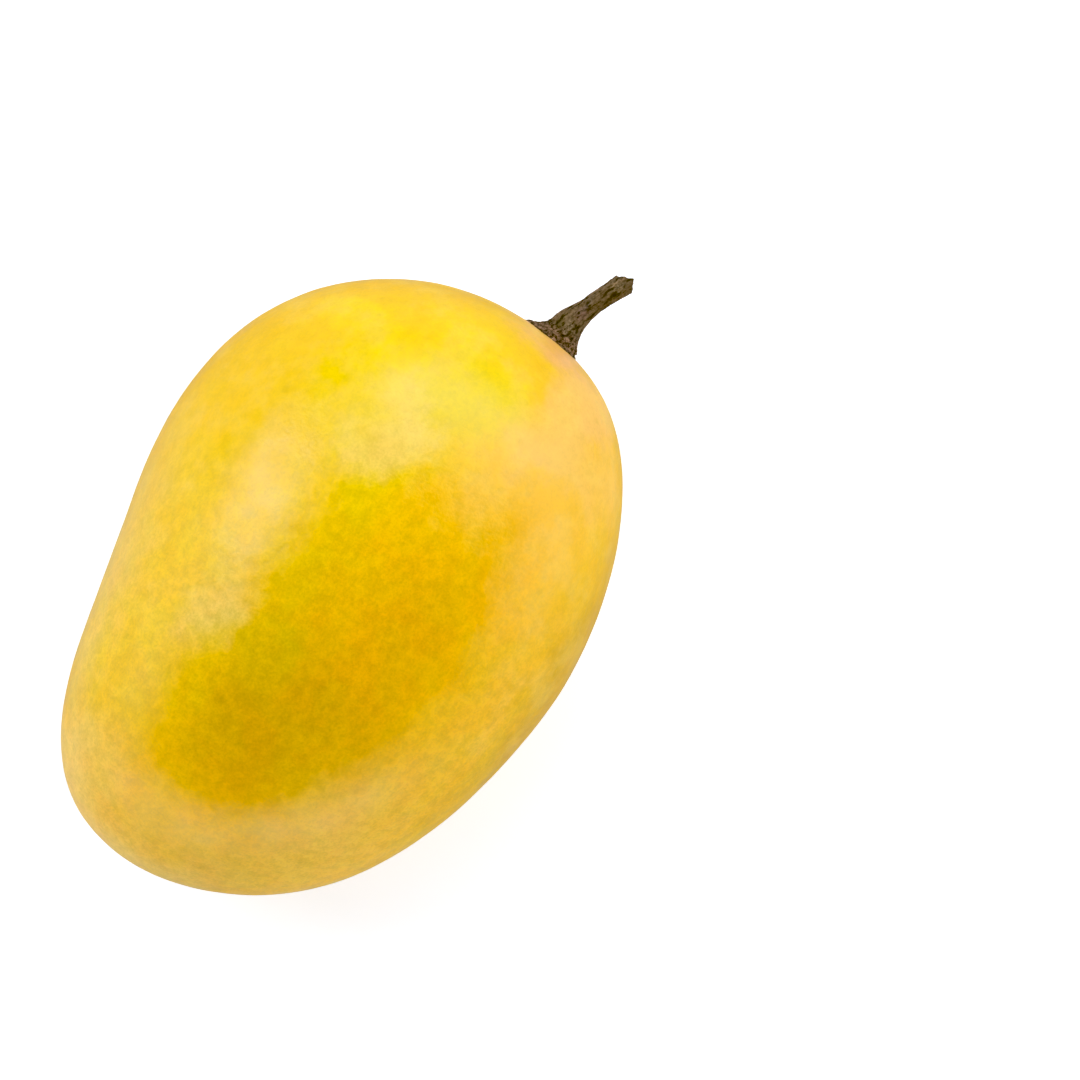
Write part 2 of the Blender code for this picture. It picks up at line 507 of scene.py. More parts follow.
@dataclass(frozen=True)
class BarkFinish:
    """Dry woody bark of the short stem.

    Attributes:
        ground: the colour under everything.
        patches: the patches of other colours, from the lowest to the uppermost.
        border: what makes the patches' borders ragged.
        border_push: how far it pushes them, in millimetres.
        streaks: the lengthwise streaks.
        stretch: how closely the streaks follow along the stem, beside round it.
        lean: how far the streaks turn off the fruit's length, in degrees.
        crack: factor on the colour in the cracks.
        crack_range: where in the streaks a crack starts and where it is full.
        flake: factor on the colour of the paler flakes.
        flake_range: where in the streaks a flake starts and where it is full.
        flecks: the small flecks.
        fleck_span: how far they stray from the colour, as a share.
        plate_border: what makes the scales' borders ragged.
        plate_push: how far it pushes them, in millimetres.
        plate_cells: scales per millimetre.
        seam_range: distance from a scale's border where the dark seam ends and where it is full.
        seam_cover: how much of the crack's colour a full seam shows.
        foot: the scaly region, its middle and half sizes in millimetres.
        foot_edge: the soft share of its reach.
        streak_height: height of the streaks, in metres.
        fleck_height: height of the flecks, in metres.
        seam_depth: depth of the seams, in metres.
        relief_shown: how much of the streaks' and flecks' height shows.
        refraction: refractive index of the dry bark.
        roughness: how dull the bark is.
    """

    ground: Colour = (0.150, 0.098, 0.066)
    patches: tuple[Patch, ...] = (
        Patch("purple_foot", (53.6, -7.0, 33.0), (1.7, 8.0, 8.0), (0.225, 0.128, 0.090)),
        Patch("olive_flare", (56.6, -5.0, 36.0), (1.9, 1.2, 3.0), (0.110, 0.086, 0.042)),
        Patch("tan_flare", (56.2, -7.0, 36.0), (1.5, 1.0, 3.0), (0.265, 0.197, 0.134)),
        Patch("mauve_waist", (59.6, -7.6, 35.0), (1.4, 1.0, 3.0), (0.160, 0.088, 0.082)),
        Patch("grey_top", (61.6, -7.3, 36.0), (3.0, 0.8, 3.0), (0.200, 0.158, 0.134)),
        Patch("tan_tip", (66.0, -9.8, 36.0), (1.6, 1.4, 3.0), (0.255, 0.188, 0.124)),
    )
    border: Clouds = Clouds(0.7, 2.0, 0.5)
    border_push: float = 0.7
    streaks: Clouds = Clouds(1.25, 5.0, 0.62)
    stretch: float = 0.35
    lean: float = -18.0
    crack: Colour = (0.23, 0.19, 0.22)
    crack_range: tuple[float, float] = (0.52, 0.38)
    flake: Colour = (1.45, 1.42, 1.40)
    flake_range: tuple[float, float] = (0.54, 0.68)
    flecks: Clouds = Clouds(2.4, 4.0, 0.65)
    fleck_span: float = 0.4
    plate_border: Clouds = Clouds(1.1, 2.0, 0.5)
    plate_push: float = 0.9
    plate_cells: float = 0.85
    seam_range: tuple[float, float] = (0.12, 0.02)
    seam_cover: float = 0.8
    foot: Region = ((52.6, -6.5, 34.0), (3.4, 9.0, 9.0))
    foot_edge: float = 0.25
    streak_height: float = 0.3 * MM
    fleck_height: float = 0.1 * MM
    seam_depth: float = 0.2 * MM
    relief_shown: float = 0.9
    refraction: float = 1.38
    roughness: float = 0.85

    def material(self) -> bpy.types.Material:
        """Builds the bark's material.

        Returns:
            The material.
        """
        sheet = Sheet("stem_bark")
        colour = sheet.patched(self.ground, self.patches, sheet.shifted(self.border, self.border_push))
        streaks = sheet.clouds(self.streaks, self.lengthwise(sheet))
        flecks = sheet.clouds(self.flecks)
        seams = self.seams(sheet)
        cracks = sheet.spread(streaks, *self.crack_range)
        flakes = sheet.spread(streaks, *self.flake_range)
        colour = sheet.mix(cracks, colour, self.crack, Blending.TIMES)
        colour = sheet.mix(flakes, colour, self.flake, Blending.TIMES)
        colour = sheet.mix(1.0, colour, sheet.tones(flecks, self.fleck_span), Blending.TIMES)
        colour = sheet.mix(seams, colour, self.crack, Blending.TIMES)
        normal = sheet.relief(streaks, self.streak_height, self.relief_shown)
        normal = sheet.relief(flecks, self.fleck_height, self.relief_shown, normal)
        normal = sheet.relief(sheet.sum(Sum.MINUS, 1.0, seams), self.seam_depth, 1.0, normal)
        return sheet.finish(colour, self.roughness, normal, IOR=self.refraction)

    def lengthwise(self, sheet: Sheet) -> bpy.types.NodeSocket:
        """The place, turned and shrunk along the stem, which draws clouds out into streaks.

        Args:
            sheet: the bark's node sheet.

        Returns:
            The turned and shrunk place, in millimetres.
        """
        angle = -math.radians(self.lean)
        turned = sheet.node("ShaderNodeVectorRotate", {"Vector": sheet.place, "Angle": angle},
                            rotation_type="Z_AXIS").outputs["Vector"]
        return sheet.node("ShaderNodeVectorMath", {0: turned, 1: (self.stretch, 1.0, 1.0)},
                          operation="MULTIPLY").outputs["Vector"]

    def seams(self, sheet: Sheet) -> bpy.types.NodeSocket:
        """Dark seams between the scales of the foot.

        Args:
            sheet: the bark's node sheet.

        Returns:
            How much of the crack's colour shows.
        """
        ragged = sheet.shifted(self.plate_border, self.plate_push)
        plates = sheet.node("ShaderNodeTexVoronoi", {"Vector": ragged, "Scale": self.plate_cells},
                            feature="DISTANCE_TO_EDGE").outputs["Distance"]
        scaly = sheet.inside(sheet.place, *self.foot, self.foot_edge)
        return sheet.sum(Sum.TIMES, sheet.spread(plates, *self.seam_range, 0.0, self.seam_cover), scaly)


@dataclass(frozen=True)
class FloorFinish:
    """Plain pale sweep that the fruit lies on, glowing with its own light away from the fruit; its dimmer
    glow round the fruit is a painted shadow.

    Attributes:
        colour: its linear colour.
        glow_tint: tint of its own light.
        painted_shadow_glow: its own light round the fruit, kept low there as a painted shadow.
        far_glow: its own light farther out.
        horizon_glow: its own light out of the lamps' reach.
        painted_shadow_region: the dimmest region, a painted shadow round the fruit, its middle and half
            sizes in millimetres.
        painted_shadow_edge: the soft share of its reach.
        lit_region: the region that the lamps reach, likewise.
        lit_edge: the soft share of its reach.
        paper: the clouds of its slight unevenness.
        paper_height: height of the unevenness, in metres.
        paper_shown: how much of it shows.
        roughness: how dull it is.
    """

    colour: Colour = (0.72, 0.75, 0.80)
    glow_tint: Colour = (0.99, 1.02, 1.10)
    # Low glow round the fruit: a painted shadow.
    painted_shadow_glow: float = 0.53
    far_glow: float = 0.76
    horizon_glow: float = 1.10
    painted_shadow_region: Region = ((0.0, 0.0, 0.0), (85.0, 70.0, 100.0))
    painted_shadow_edge: float = 0.6
    lit_region: Region = ((0.0, 0.0, 0.0), (800.0, 800.0, 800.0))
    lit_edge: float = 0.4
    paper: Clouds = Clouds(0.5)
    paper_height: float = 0.02 * MM
    paper_shown: float = 0.2
    roughness: float = 0.85

    def material(self) -> bpy.types.Material:
        """Builds the floor's material.

        Returns:
            The material.
        """
        sheet = Sheet("pale_floor")
        # The glow is dimmer round the fruit: a painted shadow.
        shadow_share = sheet.inside(sheet.place, *self.painted_shadow_region, self.painted_shadow_edge)
        lit = sheet.inside(sheet.place, *self.lit_region, self.lit_edge)
        glow = sheet.spread(shadow_share, 0.0, 1.0, self.far_glow, self.painted_shadow_glow)
        glow = sheet.node("ShaderNodeMapRange", {"Value": lit, "To Min": self.horizon_glow, "To Max": glow})
        normal = sheet.relief(sheet.clouds(self.paper), self.paper_height, self.paper_shown)
        made = sheet.finish(self.colour, self.roughness, normal)
        sheet.feed(sheet.shader.inputs["Emission Color"], self.glow_tint)
        sheet.feed(sheet.shader.inputs["Emission Strength"], glow.outputs["Result"])
        return made


@dataclass
class Fruit:
    """The whole fruit: a flattened egg with a shallow hollow and a beak on its belly edge.

    Attributes:
        thickness: through the two cheeks, before the flat spot.
        spot_depth: how far the lower cheek is flattened where it rests.
        cheek: half length and half width of the oval that the outline blends into.
        fullness: swell of the cheeks beyond a plain ellipse.
        stem_end_fullness: extra thickness of the stem end.
        apex_turn: how far the apex lifts out of the seam plane.
        rows: faces along each side of the sphere's six squares.
        spot_edge: how softly the flat spot begins.
        outline: points of the seam's outline, in millimetres.
        unevenness: height and width of each layer of low relief, in millimetres.
        finish: the look of its skin.
    """

    thickness: float = 66.4 * MM
    spot_depth: float = 1.1 * MM
    cheek: tuple[float, float] = (55.0 * MM, 39.0 * MM)
    fullness: float = 0.06
    stem_end_fullness: float = 0.20
    apex_turn: float = 1.2 * MM
    rows: int = 120
    spot_edge: float = 0.5 * MM
    outline: Pairs = (
        (53.5, -0.4), (49.0, 17.8), (34.0, 33.9), (14.3, 39.4), (-3.3, 37.5), (-16.0, 34.3),
        (-28.0, 31.4), (-42.0, 26.7), (-52.0, 18.8), (-56.5, 6.0), (-54.6, -6.5), (-46.0, -21.0),
        (-29.5, -32.6), (-8.0, -38.4), (16.0, -38.2), (35.7, -31.2), (48.4, -20.3), (52.6, -10.5),
    )
    unevenness: Pairs = ((0.22, 21.0), (0.05, 6.0), (0.02, 2.4))
    finish: SkinFinish = SkinFinish()

    @property
    def middle(self) -> float:
        """Height of the seam plane over the floor."""
        return 0.5 * self.thickness - self.spot_depth

    @property
    def half_length(self) -> float:
        """Half the outline's length."""
        along = [x for x, _ in self.outline]
        return 0.5 * (max(along) - min(along)) * MM

    def outline_radius(self) -> Callable[[np.ndarray], np.ndarray]:
        """Fits a smooth closed curve through the outline's points.

        Returns:
            A function that gives the radius at each angle.
        """
        points = np.array(self.outline) * MM
        angle = np.arctan2(points[:, 1], points[:, 0]) % math.tau
        order = np.argsort(angle)
        angle = angle[order]
        radius = np.hypot(points[:, 0], points[:, 1])[order]
        count = len(angle)
        span = np.diff(np.append(angle, angle[0] + math.tau))
        matrix = np.zeros((count, count))
        rise = (np.roll(radius, -1) - radius) / span
        for i in range(count):
            matrix[i, i - 1] += span[i - 1] / 6
            matrix[i, i] += (span[i - 1] + span[i]) / 3
            matrix[i, (i + 1) % count] += span[i] / 6
        bend = np.linalg.solve(matrix, rise - np.roll(rise, 1))

        def at(theta: np.ndarray) -> np.ndarray:
            """Radius at each angle.

            Args:
                theta: the angles.

            Returns:
                A radius for each angle.
            """
            turned = (theta - angle[0]) % math.tau
            i = np.searchsorted(angle - angle[0], turned, side="right") - 1
            after = (i + 1) % count
            gone = turned - (angle - angle[0])[i]
            left = span[i] - gone
            curved = (bend[i] * left ** 3 + bend[after] * gone ** 3) / (6 * span[i])
            start = (radius[i] / span[i] - bend[i] * span[i] / 6) * left
            end = (radius[after] / span[i] - bend[after] * span[i] / 6) * gone
            return curved + start + end

        return at

    def skin(self, ways: np.ndarray) -> np.ndarray:
        """Points of the plain skin, with no relief and no flat spot.

        Args:
            ways: unit directions from the middle, one a row.

        Returns:
            A point for each direction.
        """
        level = np.hypot(ways[:, 0], ways[:, 1])
        theta = np.arctan2(ways[:, 1], ways[:, 0])
        oval = 1 / np.hypot(np.cos(theta) / self.cheek[0], np.sin(theta) / self.cheek[1])
        reach = level * (oval + (self.outline_radius()(theta) - oval) * level ** 2)
        x = reach * np.cos(theta)
        share = x / self.half_length
        swell = (1 + self.fullness * level ** 2) * (1 + self.stem_end_fullness * level ** 2 * share)
        z = self.middle + 0.5 * self.thickness * ways[:, 2] * swell - self.apex_turn * share ** 3
        return np.stack([x, reach * np.sin(theta), z], axis=1)

    def rested(self, height: np.ndarray) -> np.ndarray:
        """Presses the lowest part of the skin flat on the floor, with a soft edge.

        Args:
            height: heights of the plain skin.

        Returns:
            The heights at rest.
        """
        edge = self.spot_edge
        soft = (height + edge) ** 2 / (4 * edge)
        return np.where(height > edge, height, np.where(height < -edge, 0.0, soft))

    def build(self) -> bpy.types.Object:
        """Builds the fine skin.

        Returns:
            The fruit's object.
        """
        shape = bmesh.new()
        bmesh.ops.create_cube(shape, size=2.0)
        bmesh.ops.subdivide_edges(shape, edges=shape.edges[:], cuts=self.rows - 1, use_grid_fill=True)
        mesh = bpy.data.meshes.new("mango_fruit")
        shape.to_mesh(mesh)
        shape.free()
        square = np.empty(len(mesh.vertices) * 3)
        mesh.vertices.foreach_get("co", square)
        ways = np.tan(square.reshape(-1, 3) * math.pi / 4)
        ways /= np.linalg.norm(ways, axis=1)[:, None]
        points = self.skin(ways)
        points += ways * self.relief(points)[:, None]
        points[:, 2] = self.rested(points[:, 2])
        mesh.vertices.foreach_set("co", points.ravel())
        mesh.update()
        mesh.shade_smooth()
        return add_piece("mango_fruit", mesh)

    def relief(self, points: np.ndarray) -> np.ndarray:
        """Low relief of the skin.

        Args:
            points: points of the plain skin.

        Returns:
            How far each point stands out.
        """
        return np.array([
            sum(height * MM * noise.noise(place / (width * MM)) for height, width in self.unevenness)
            for place in map(Vector, points)
        ])

    def dress(self, piece: bpy.types.Object) -> None:
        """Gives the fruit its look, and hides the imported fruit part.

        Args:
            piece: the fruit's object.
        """
        piece.data.materials.append(self.finish.material())
        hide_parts("fruit")


@dataclass(frozen=True)
class Station:
    """One place along the stem.

    Attributes:
        along: how far it is along the fruit, in millimetres.
        across: how far it is towards the belly edge, in millimetres.
        radius: the stem's radius there, in millimetres.
        lean: the stem's turn off the fruit's length, in degrees.
    """

    along: float
    across: float
    radius: float
    lean: float

    @property
    def run(self) -> np.ndarray:
        """Direction of the stem there."""
        lean = math.radians(self.lean)
        return np.array([math.cos(lean), math.sin(lean), 0.0])

    @property
    def side(self) -> np.ndarray:
        """Direction across the stem there, level with the floor."""
        lean = math.radians(self.lean)
        return np.array([-math.sin(lean), math.cos(lean), 0.0])


@dataclass(frozen=True)
class BarkRelief:
    """Low relief of the bark, with heights and lengths in millimetres.

    Attributes:
        ridges: height of each layer of ridges, and how close they stand round the stem and along it.
        crack_depth: depth of the lengthwise cracks.
        crack_spacing: how close they stand round the stem and along it.
        crack_start: where in the noise they begin.
        crack_width: how wide they are, as a share of the noise's height.
        scale_height: height of the foot's scales.
        scale_size: their size.
        gap_depth: depth of the gaps between the scales.
        gap_width: how wide the gaps are, as a share of the noise's height.
        scaly_end: where along the fruit the last scales are.
        scaly_fade: over what length the scales fade in below that.
        fibre_length: length of the broken fibres on the tip.
        fibre_size: their thickness.
    """

    ridges: tuple[tuple[float, float, float], ...] = ((0.19, 3.2, 0.16), (0.08, 9.0, 0.7))
    crack_depth: float = 0.13
    crack_spacing: tuple[float, float] = (2.3, 0.55)
    crack_start: Place = (7.0, 3.0, 1.0)
    crack_width: float = 0.07
    scale_height: float = 0.22
    scale_size: float = 0.75
    gap_depth: float = 0.20
    gap_width: float = 0.12
    scaly_end: float = 56.5
    scaly_fade: float = 3.0
    fibre_length: float = 0.30
    fibre_size: float = 0.45

    def height(self, way: Vector, along: float, point: Vector) -> float:
        """How far the bark stands out.

        Args:
            way: direction round the stem, on a circle of radius 1.
            along: how far the place is along the fruit, in millimetres.
            point: the place, in metres.

        Returns:
            The height in metres.
        """
        up = Vector((0.0, 0.0, along))
        high = sum(rise * noise.noise(around * way + upward * up) for rise, around, upward in self.ridges)
        around, upward = self.crack_spacing
        plate = noise.noise(around * way + upward * up + Vector(self.crack_start))
        high -= self.crack_depth * math.exp(-(plate / self.crack_width) ** 2)
        scale = noise.noise(point / (self.scale_size * MM))
        gap = self.gap_depth * math.exp(-(scale / self.gap_width) ** 2)
        scaly = min(max((self.scaly_end - along) / self.scaly_fade, 0.0), 1.0)
        return (high + scaly * (self.scale_height * scale - gap)) * MM

    def fibre(self, share: float, point: Vector) -> float:
        """How far a share of a broken fibre stands out of the tip at a place, in metres."""
        return share * self.fibre_length * noise.noise(point / (self.fibre_size * MM)) * MM


@dataclass
class Stem:
    """The short woody stem with its flared, scaly foot and its snapped tip.

    Attributes:
        foot: the foot's middle and its widest radius.
        stations: places along the stem above the foot.
        foot_rings: share of the foot's radius, and height over the skin in millimetres.
        tip_radii: radii of the rings that close the tip, in millimetres.
        snapped: place across the tip, and how far the break stands out there, in millimetres.
        lift: how far the tip rises over the foot, in millimetres.
        shaft_lobes: number of low lobes round the shaft, and their depth as a share of the radius.
        foot_lobes: number and depth of the lobes round the widest foot.
        lobe_turn: how far the lobes are turned round the stem, in radians.
        far_out: how far off the skin a ring starts when it is laid on it, in millimetres.
        sides: faces round the stem.
        steps: rings from one guiding ring to the next.
        bark: the bark's low relief.
        finish: the look of its bark.
    """

    foot: Station = Station(53.1, -5.7, 5.3, -8.0)
    stations: tuple[Station, ...] = (
        Station(54.1, -6.6, 3.90, -8.0), Station(55.4, -6.7, 3.05, -8.0),
        Station(57.0, -6.7, 2.62, -10.0), Station(58.7, -7.05, 2.15, -15.0),
        Station(60.4, -7.65, 1.78, -20.0), Station(62.5, -8.4, 1.67, -24.0),
        Station(64.7, -9.4, 1.70, -24.5), Station(66.6, -10.2, 1.88, -24.5),
    )
    foot_rings: Pairs = ((0.6, -0.3), (1.0, -0.12), (0.985, 0.12), (0.88, 0.45))
    tip_radii: tuple[float, ...] = (1.93, 1.86, 1.3, 0.7, 0.2)
    snapped: Pairs = ((-3.0, 0.18), (-1.65, 1.14), (-0.17, 2.20), (1.89, 0.30), (3.0, -0.7))
    lift: float = 1.0
    shaft_lobes: tuple[int, float] = (3, 0.045)
    foot_lobes: tuple[int, float] = (5, 0.05)
    lobe_turn: float = 0.6
    far_out: float = 60.0
    sides: int = 120
    steps: int = 14
    bark: BarkRelief = BarkRelief()
    finish: BarkFinish = BarkFinish()

    def ring(self, fruit: Fruit, station: Station, radius: float, lobes: int, depth: float,
             snapped: bool = False) -> np.ndarray:
        """Points of one lobed ring round the stem.

        Args:
            fruit: the fruit that it grows from.
            station: where the ring stands.
            radius: its radius, in millimetres.
            lobes: how many lobes it has.
            depth: their depth as a share of the radius.
            snapped: whether it lies on the two slopes of the snapped tip.

        Returns:
            The ring's points, one a row, in metres.
        """
        share = max((station.along - self.foot.along) / (self.stations[-1].along - self.foot.along), 0.0)
        height = fruit.middle / MM - fruit.apex_turn / MM * (self.foot.along * MM / fruit.half_length) ** 3
        centre = np.array([station.along, station.across, height + self.lift * share ** 2])
        turn = np.arange(self.sides) * math.tau / self.sides
        r = radius * (1 + depth * np.cos(lobes * turn + self.lobe_turn))
        across, above = r * np.cos(turn), r * np.sin(turn)
        points = centre + np.outer(across, station.side) + np.outer(above, (0.0, 0.0, 1.0))
        if snapped:
            points += np.outer(np.interp(across, *zip(*self.snapped)), station.run)
        return points * MM

    def laid(self, points: np.ndarray, skin: BVHTree, clearance: float) -> np.ndarray:
        """Moves a ring along the stem's run until it lies on the skin.

        Args:
            points: the ring's points.
            skin: the fruit's surface.
            clearance: how far off the skin it stays.

        Returns:
            The moved points.
        """
        run = Vector(self.foot.run)
        moved = []
        for point in points:
            touched = skin.ray_cast(Vector(point) + run * self.far_out * MM, -run)[0]
            moved.append(touched + run * clearance)
        return np.array(moved)

    def rings(self, fruit: Fruit, skin: BVHTree) -> np.ndarray:
        """Guiding rings from under the foot to the tip.

        Args:
            fruit: the fruit that the stem grows from.
            skin: the fruit's surface.

        Returns:
            The rings' points, in metres.
        """
        rings = []
        lobes, depth = self.foot_lobes
        for share, height in self.foot_rings:
            flat = self.ring(fruit, self.foot, self.foot.radius * share, lobes, depth * share)
            rings.append(self.laid(flat, skin, height * MM))
        rings += [self.ring(fruit, station, station.radius, *self.shaft_lobes) for station in self.stations]
        tip = self.stations[-1]
        rings += [self.ring(fruit, tip, radius, *self.shaft_lobes, True) for radius in self.tip_radii]
        return np.array(rings)

    def fine_rings(self, guides: np.ndarray) -> np.ndarray:
        """Further rings between the guiding ones, on a Catmull-Rom curve.

        Args:
            guides: the guiding rings.

        Returns:
            All rings, from the foot to the tip.
        """
        ends = np.concatenate([2 * guides[:1] - guides[1:2], guides, 2 * guides[-1:] - guides[-2:-1]])
        fine = []
        for before, start, end, after in zip(ends, ends[1:], ends[2:], ends[3:]):
            for t in np.arange(self.steps) / self.steps:
                bow = (2 * before - 5 * start + 4 * end - after) * t ** 2
                bow += (3 * start - before - 3 * end + after) * t ** 3
                fine.append(start + 0.5 * ((end - before) * t + bow))
        fine.append(guides[-1])
        return np.array(fine)

    def roughened(self, rings: np.ndarray) -> np.ndarray:
        """Gives the rings the ridges, cracks and scales of bark, and the tip its broken fibres.

        Args:
            rings: smooth rings, from the foot to the tip.

        Returns:
            The rough rings.
        """
        tip = self.stations[-1]
        turn = np.arange(self.sides) * math.tau / self.sides
        circle = [Vector((math.cos(t), math.sin(t), 0.0)) for t in turn]
        rough = rings.copy()
        for ring in rough:
            centre = ring.mean(axis=0)
            along = centre[0] / MM
            out = ring - centre
            out /= np.linalg.norm(out, axis=1)[:, None] + HAIR
            broken = min(max(along - tip.along, 0.0), 1.0)
            ridges = [self.bark.height(way, along, Vector(point)) for way, point in zip(circle, ring)]
            fibres = [self.bark.fibre(broken, Vector(point)) for point in ring]
            ring += out * np.array(ridges)[:, None] + np.outer(fibres, tip.run)
        return rough

    def build(self, fruit: Fruit, skin: BVHTree) -> bpy.types.Object:
        """Builds the stem on the fruit's skin.

        Args:
            fruit: the fruit that it grows from.
            skin: the fruit's surface.

        Returns:
            The stem's object.
        """
        rings = self.roughened(self.fine_rings(self.rings(fruit, skin)))
        shape = bmesh.new()
        loops = [[shape.verts.new(point) for point in ring] for ring in rings]
        for lower, upper in zip(loops, loops[1:]):
            for k in range(self.sides):
                after = (k + 1) % self.sides
                shape.faces.new((lower[k], lower[after], upper[after], upper[k]))
        for loop in (loops[0], loops[-1]):
            shape.faces.new(loop)
        bmesh.ops.recalc_face_normals(shape, faces=shape.faces[:])
        mesh = bpy.data.meshes.new("mango_stem")
        shape.to_mesh(mesh)
        shape.free()
        mesh.shade_smooth()
        return add_piece("mango_stem", mesh)

    def dress(self, piece: bpy.types.Object) -> None:
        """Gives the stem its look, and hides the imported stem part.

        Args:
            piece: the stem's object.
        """
        piece.data.materials.append(self.finish.material())
        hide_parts("stem")


@dataclass(frozen=True)
class Shot:
    """The camera, which looks straight down on the upper cheek.

    Attributes:
        axis_angle: angle in the picture from its right side to the fruit's length, in degrees.
        scale: pixels for each metre at the height of the fruit's seam.
        origin_pixel: where the part's origin falls in the picture.
        lens: focal length, in millimetres.
        nearest: the nearest distance that it sees, in metres.
    """

    axis_angle: float = 56.0
    scale: float = 6084.0
    origin_pixel: tuple[float, float] = (342.5, 588.0)
    lens: float = 100.0
    nearest: float = 0.01

    @property
    def right(self) -> Vector:
        """The picture's right, in the part's frame."""
        angle = math.radians(self.axis_angle)
        return Vector((math.cos(angle), -math.sin(angle), 0.0))

    @property
    def up(self) -> Vector:
        """The picture's top, in the part's frame."""
        angle = math.radians(self.axis_angle)
        return Vector((math.sin(angle), math.cos(angle), 0.0))

    def way(self, turn: float, tilt: float) -> Vector:
        """Direction as the picture shows it.

        Args:
            turn: degrees from the picture's right towards its top.
            tilt: degrees away from straight up.

        Returns:
            The unit direction, in the part's frame.
        """
        turned, tilted = math.radians(turn), math.radians(tilt)
        flat = self.right * math.cos(turned) + self.up * math.sin(turned)
        return flat * math.sin(tilted) + Vector((0.0, 0.0, math.cos(tilted)))

    def set_up(self, seam: float) -> bpy.types.Object:
        """Places the camera.

        Args:
            seam: height of the seam over the floor.

        Returns:
            The camera's object.
        """
        data = bpy.data.cameras.new("camera")
        data.lens = self.lens
        data.sensor_width = SENSOR_WIDTH
        data.clip_start = self.nearest
        distance = self.lens / SENSOR_WIDTH * PHOTO_SIDE / self.scale
        across = (0.5 * PHOTO_SIDE - self.origin_pixel[0]) / self.scale
        above = (self.origin_pixel[1] - 0.5 * PHOTO_SIDE) / self.scale
        eye = self.right * across + self.up * above + Vector((0.0, 0.0, seam + distance))
        made = bpy.data.objects.new("camera", data)
        axes = Matrix((self.right, self.up, Vector((0.0, 0.0, 1.0)))).transposed()
        made.matrix_world = Matrix.Translation(eye) @ axes.to_4x4()
        bpy.context.scene.collection.objects.link(made)
        bpy.context.scene.camera = made
        return made


@dataclass(frozen=True)
class SoftBox:
    """A large soft light.

    Attributes:
        name: what it is called.
        turn: degrees from the picture's right towards its top.
        tilt: degrees away from straight up.
        size: its width and height, in metres.
        brightness: radiance of its front.
        distance: how far from the fruit it stands, in metres.
    """

    name: str
    turn: float
    tilt: float
    size: tuple[float, float]
    brightness: float
    distance: float = 0.9

    def set_up(self, shot: Shot, aim: Vector) -> bpy.types.Object:
        """Places the light.

        Args:
            shot: the camera, whose picture gives the directions.
            aim: the point that it faces.

        Returns:
            The light's object.
        """
        data = bpy.data.lights.new(self.name, "AREA")
        data.shape = "RECTANGLE"
        data.size, data.size_y = self.size
        data.energy = self.brightness * math.pi * self.size[0] * self.size[1]
        made = bpy.data.objects.new(self.name, data)
        towards = shot.way(self.turn, self.tilt)
        made.location = aim + towards * self.distance
        made.rotation_mode = "QUATERNION"
        made.rotation_quaternion = towards.to_track_quat("Z", "Y")
        made.visible_camera = False
        bpy.context.scene.collection.objects.link(made)
        return made


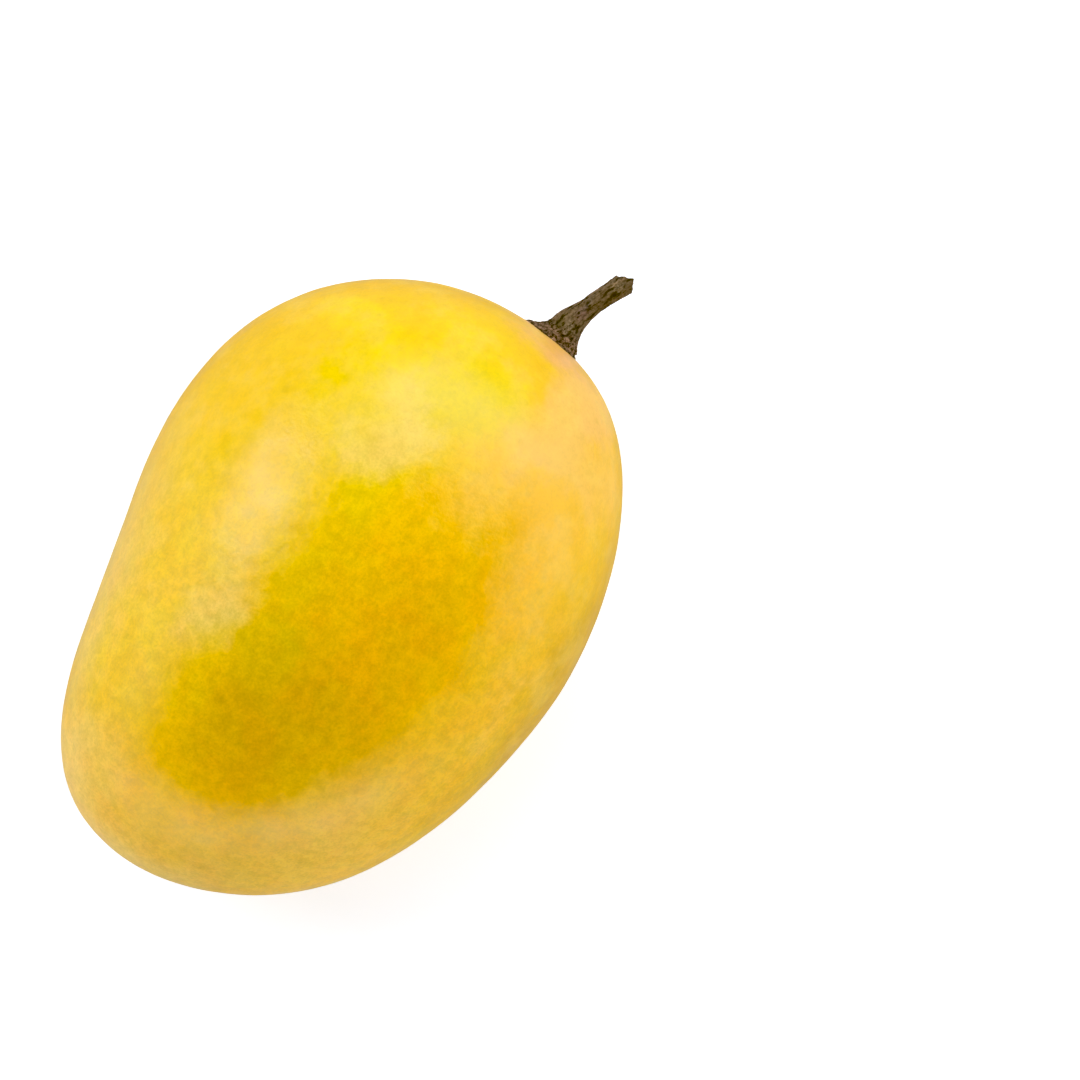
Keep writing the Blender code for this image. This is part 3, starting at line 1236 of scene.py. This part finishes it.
@dataclass(frozen=True)
class Studio:
    """Pale floor, soft boxes and a surround that is white at the horizon and dark overhead.

    Attributes:
        floor_half: half the floor's side, in metres.
        floor_finish: the look of the floor.
        black_level: linear colour that the picture shows as black.
        surround_stops: height of a direction, from -1 to 1, and the surround's brightness there.
        boxes: the soft boxes.
    """

    floor_half: float = 60.0
    floor_finish: FloorFinish = FloorFinish()
    black_level: Colour = (0.009, 0.009, 0.035)
    surround_stops: Pairs = (
        (-1.0, 0.38), (-0.06, 0.42), (0.0, 1.08), (0.2, 0.34), (0.42, 0.07), (0.56, 0.02), (0.72, 0.0),
    )
    boxes: tuple[SoftBox, ...] = (
        SoftBox("key_box", 52.0, 47.0, (1.15, 0.56), 2.72),
        SoftBox("left_box", 143.0, 44.0, (0.48, 0.46), 5.4),
        SoftBox("left_low_box", 178.0, 68.0, (0.80, 0.40), 1.3),
        SoftBox("right_box", 0.0, 70.0, (0.80, 0.50), 1.7),
        SoftBox("low_strip", 255.0, 80.0, (1.90, 0.24), 1.95),
        SoftBox("low_right_box", 315.0, 60.0, (0.80, 0.30), 0.7),
    )

    def floor(self) -> bpy.types.Object:
        """Builds the pale floor.

        Returns:
            The floor's object.
        """
        half = self.floor_half
        mesh = bpy.data.meshes.new("floor")
        corners = [(-half, -half, 0.0), (half, -half, 0.0), (half, half, 0.0), (-half, half, 0.0)]
        mesh.from_pydata(corners, [], [(0, 1, 2, 3)])
        mesh.materials.append(self.floor_finish.material())
        made = bpy.data.objects.new("floor", mesh)
        made.visible_glossy = False
        bpy.context.scene.collection.objects.link(made)
        return made

    def surround(self) -> bpy.types.World:
        """Builds the surround, which lights the fruit from all sides.

        Returns:
            The scene's world.
        """
        world = bpy.data.worlds.new("surround")
        bpy.context.scene.world = world
        world.use_nodes = True
        tree = world.node_tree
        way = tree.nodes.new("ShaderNodeTexCoord").outputs["Generated"]
        split = tree.nodes.new("ShaderNodeSeparateXYZ")
        tree.links.new(way, split.inputs[0])
        ramp = tree.nodes.new("ShaderNodeValToRGB")
        raised = tree.nodes.new("ShaderNodeMapRange")
        raised.inputs["From Min"].default_value = -1.0
        tree.links.new(split.outputs["Z"], raised.inputs["Value"])
        tree.links.new(raised.outputs["Result"], ramp.inputs["Fac"])
        brightest = max(value for _, value in self.surround_stops)
        stops = ramp.color_ramp.elements
        while len(stops) < len(self.surround_stops):
            stops.new(0.5)
        for stop, (height, value) in zip(stops, self.surround_stops):
            stop.position = 0.5 + 0.5 * height
            stop.color = (value / brightest,) * 3 + (1.0,)
        background = tree.nodes["Background"]
        tree.links.new(ramp.outputs["Color"], background.inputs["Color"])
        background.inputs["Strength"].default_value = brightest
        return world

    def set_up(self, shot: Shot, aim: Vector) -> None:
        """Places the floor, the surround and the lights.

        Args:
            shot: the camera, whose picture gives the directions.
            aim: the point that the lights face.
        """
        self.floor()
        self.surround()
        for box in self.boxes:
            box.set_up(shot, aim)
        settings = bpy.context.scene.view_settings
        settings.view_transform = "Standard"
        settings.look = "None"
        settings.use_curve_mapping = True
        settings.curve_mapping.black_level = self.black_level
        settings.curve_mapping.update()


def add_piece(name: str, mesh: bpy.types.Mesh) -> bpy.types.Object:
    """Adds a mesh to the scene as a piece of the fruit's body.

    Args:
        name: the piece's name.
        mesh: its mesh, in the part's frame.

    Returns:
        The new object.
    """
    piece = bpy.data.objects.new(name, mesh)
    bpy.context.scene.collection.objects.link(piece)
    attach(piece, BODY)
    return piece


def surface_of(piece: bpy.types.Object) -> BVHTree:
    """A piece's surface, to lay others on."""
    corners = [vertex.co for vertex in piece.data.vertices]
    return BVHTree.FromPolygons(corners, [tuple(face.vertices) for face in piece.data.polygons])


def report(piece: bpy.types.Object) -> None:
    """Logs a piece and its number of faces."""
    log.info("%s: %d faces", piece.name, len(piece.data.polygons))


def main() -> None:
    """Builds every piece, the studio and the camera."""
    logging.basicConfig(level=logging.INFO, format="%(name)s: %(message)s")
    fruit = Fruit()
    fruit_piece = fruit.build()
    fruit.dress(fruit_piece)
    report(fruit_piece)
    stem = Stem()
    stem_piece = stem.build(fruit, surface_of(fruit_piece))
    stem.dress(stem_piece)
    report(stem_piece)
    shot = Shot()
    shot.set_up(fruit.middle)
    Studio().set_up(shot, Vector((0.0, 0.0, fruit.middle)))


if __name__ == "__main__":
    main()
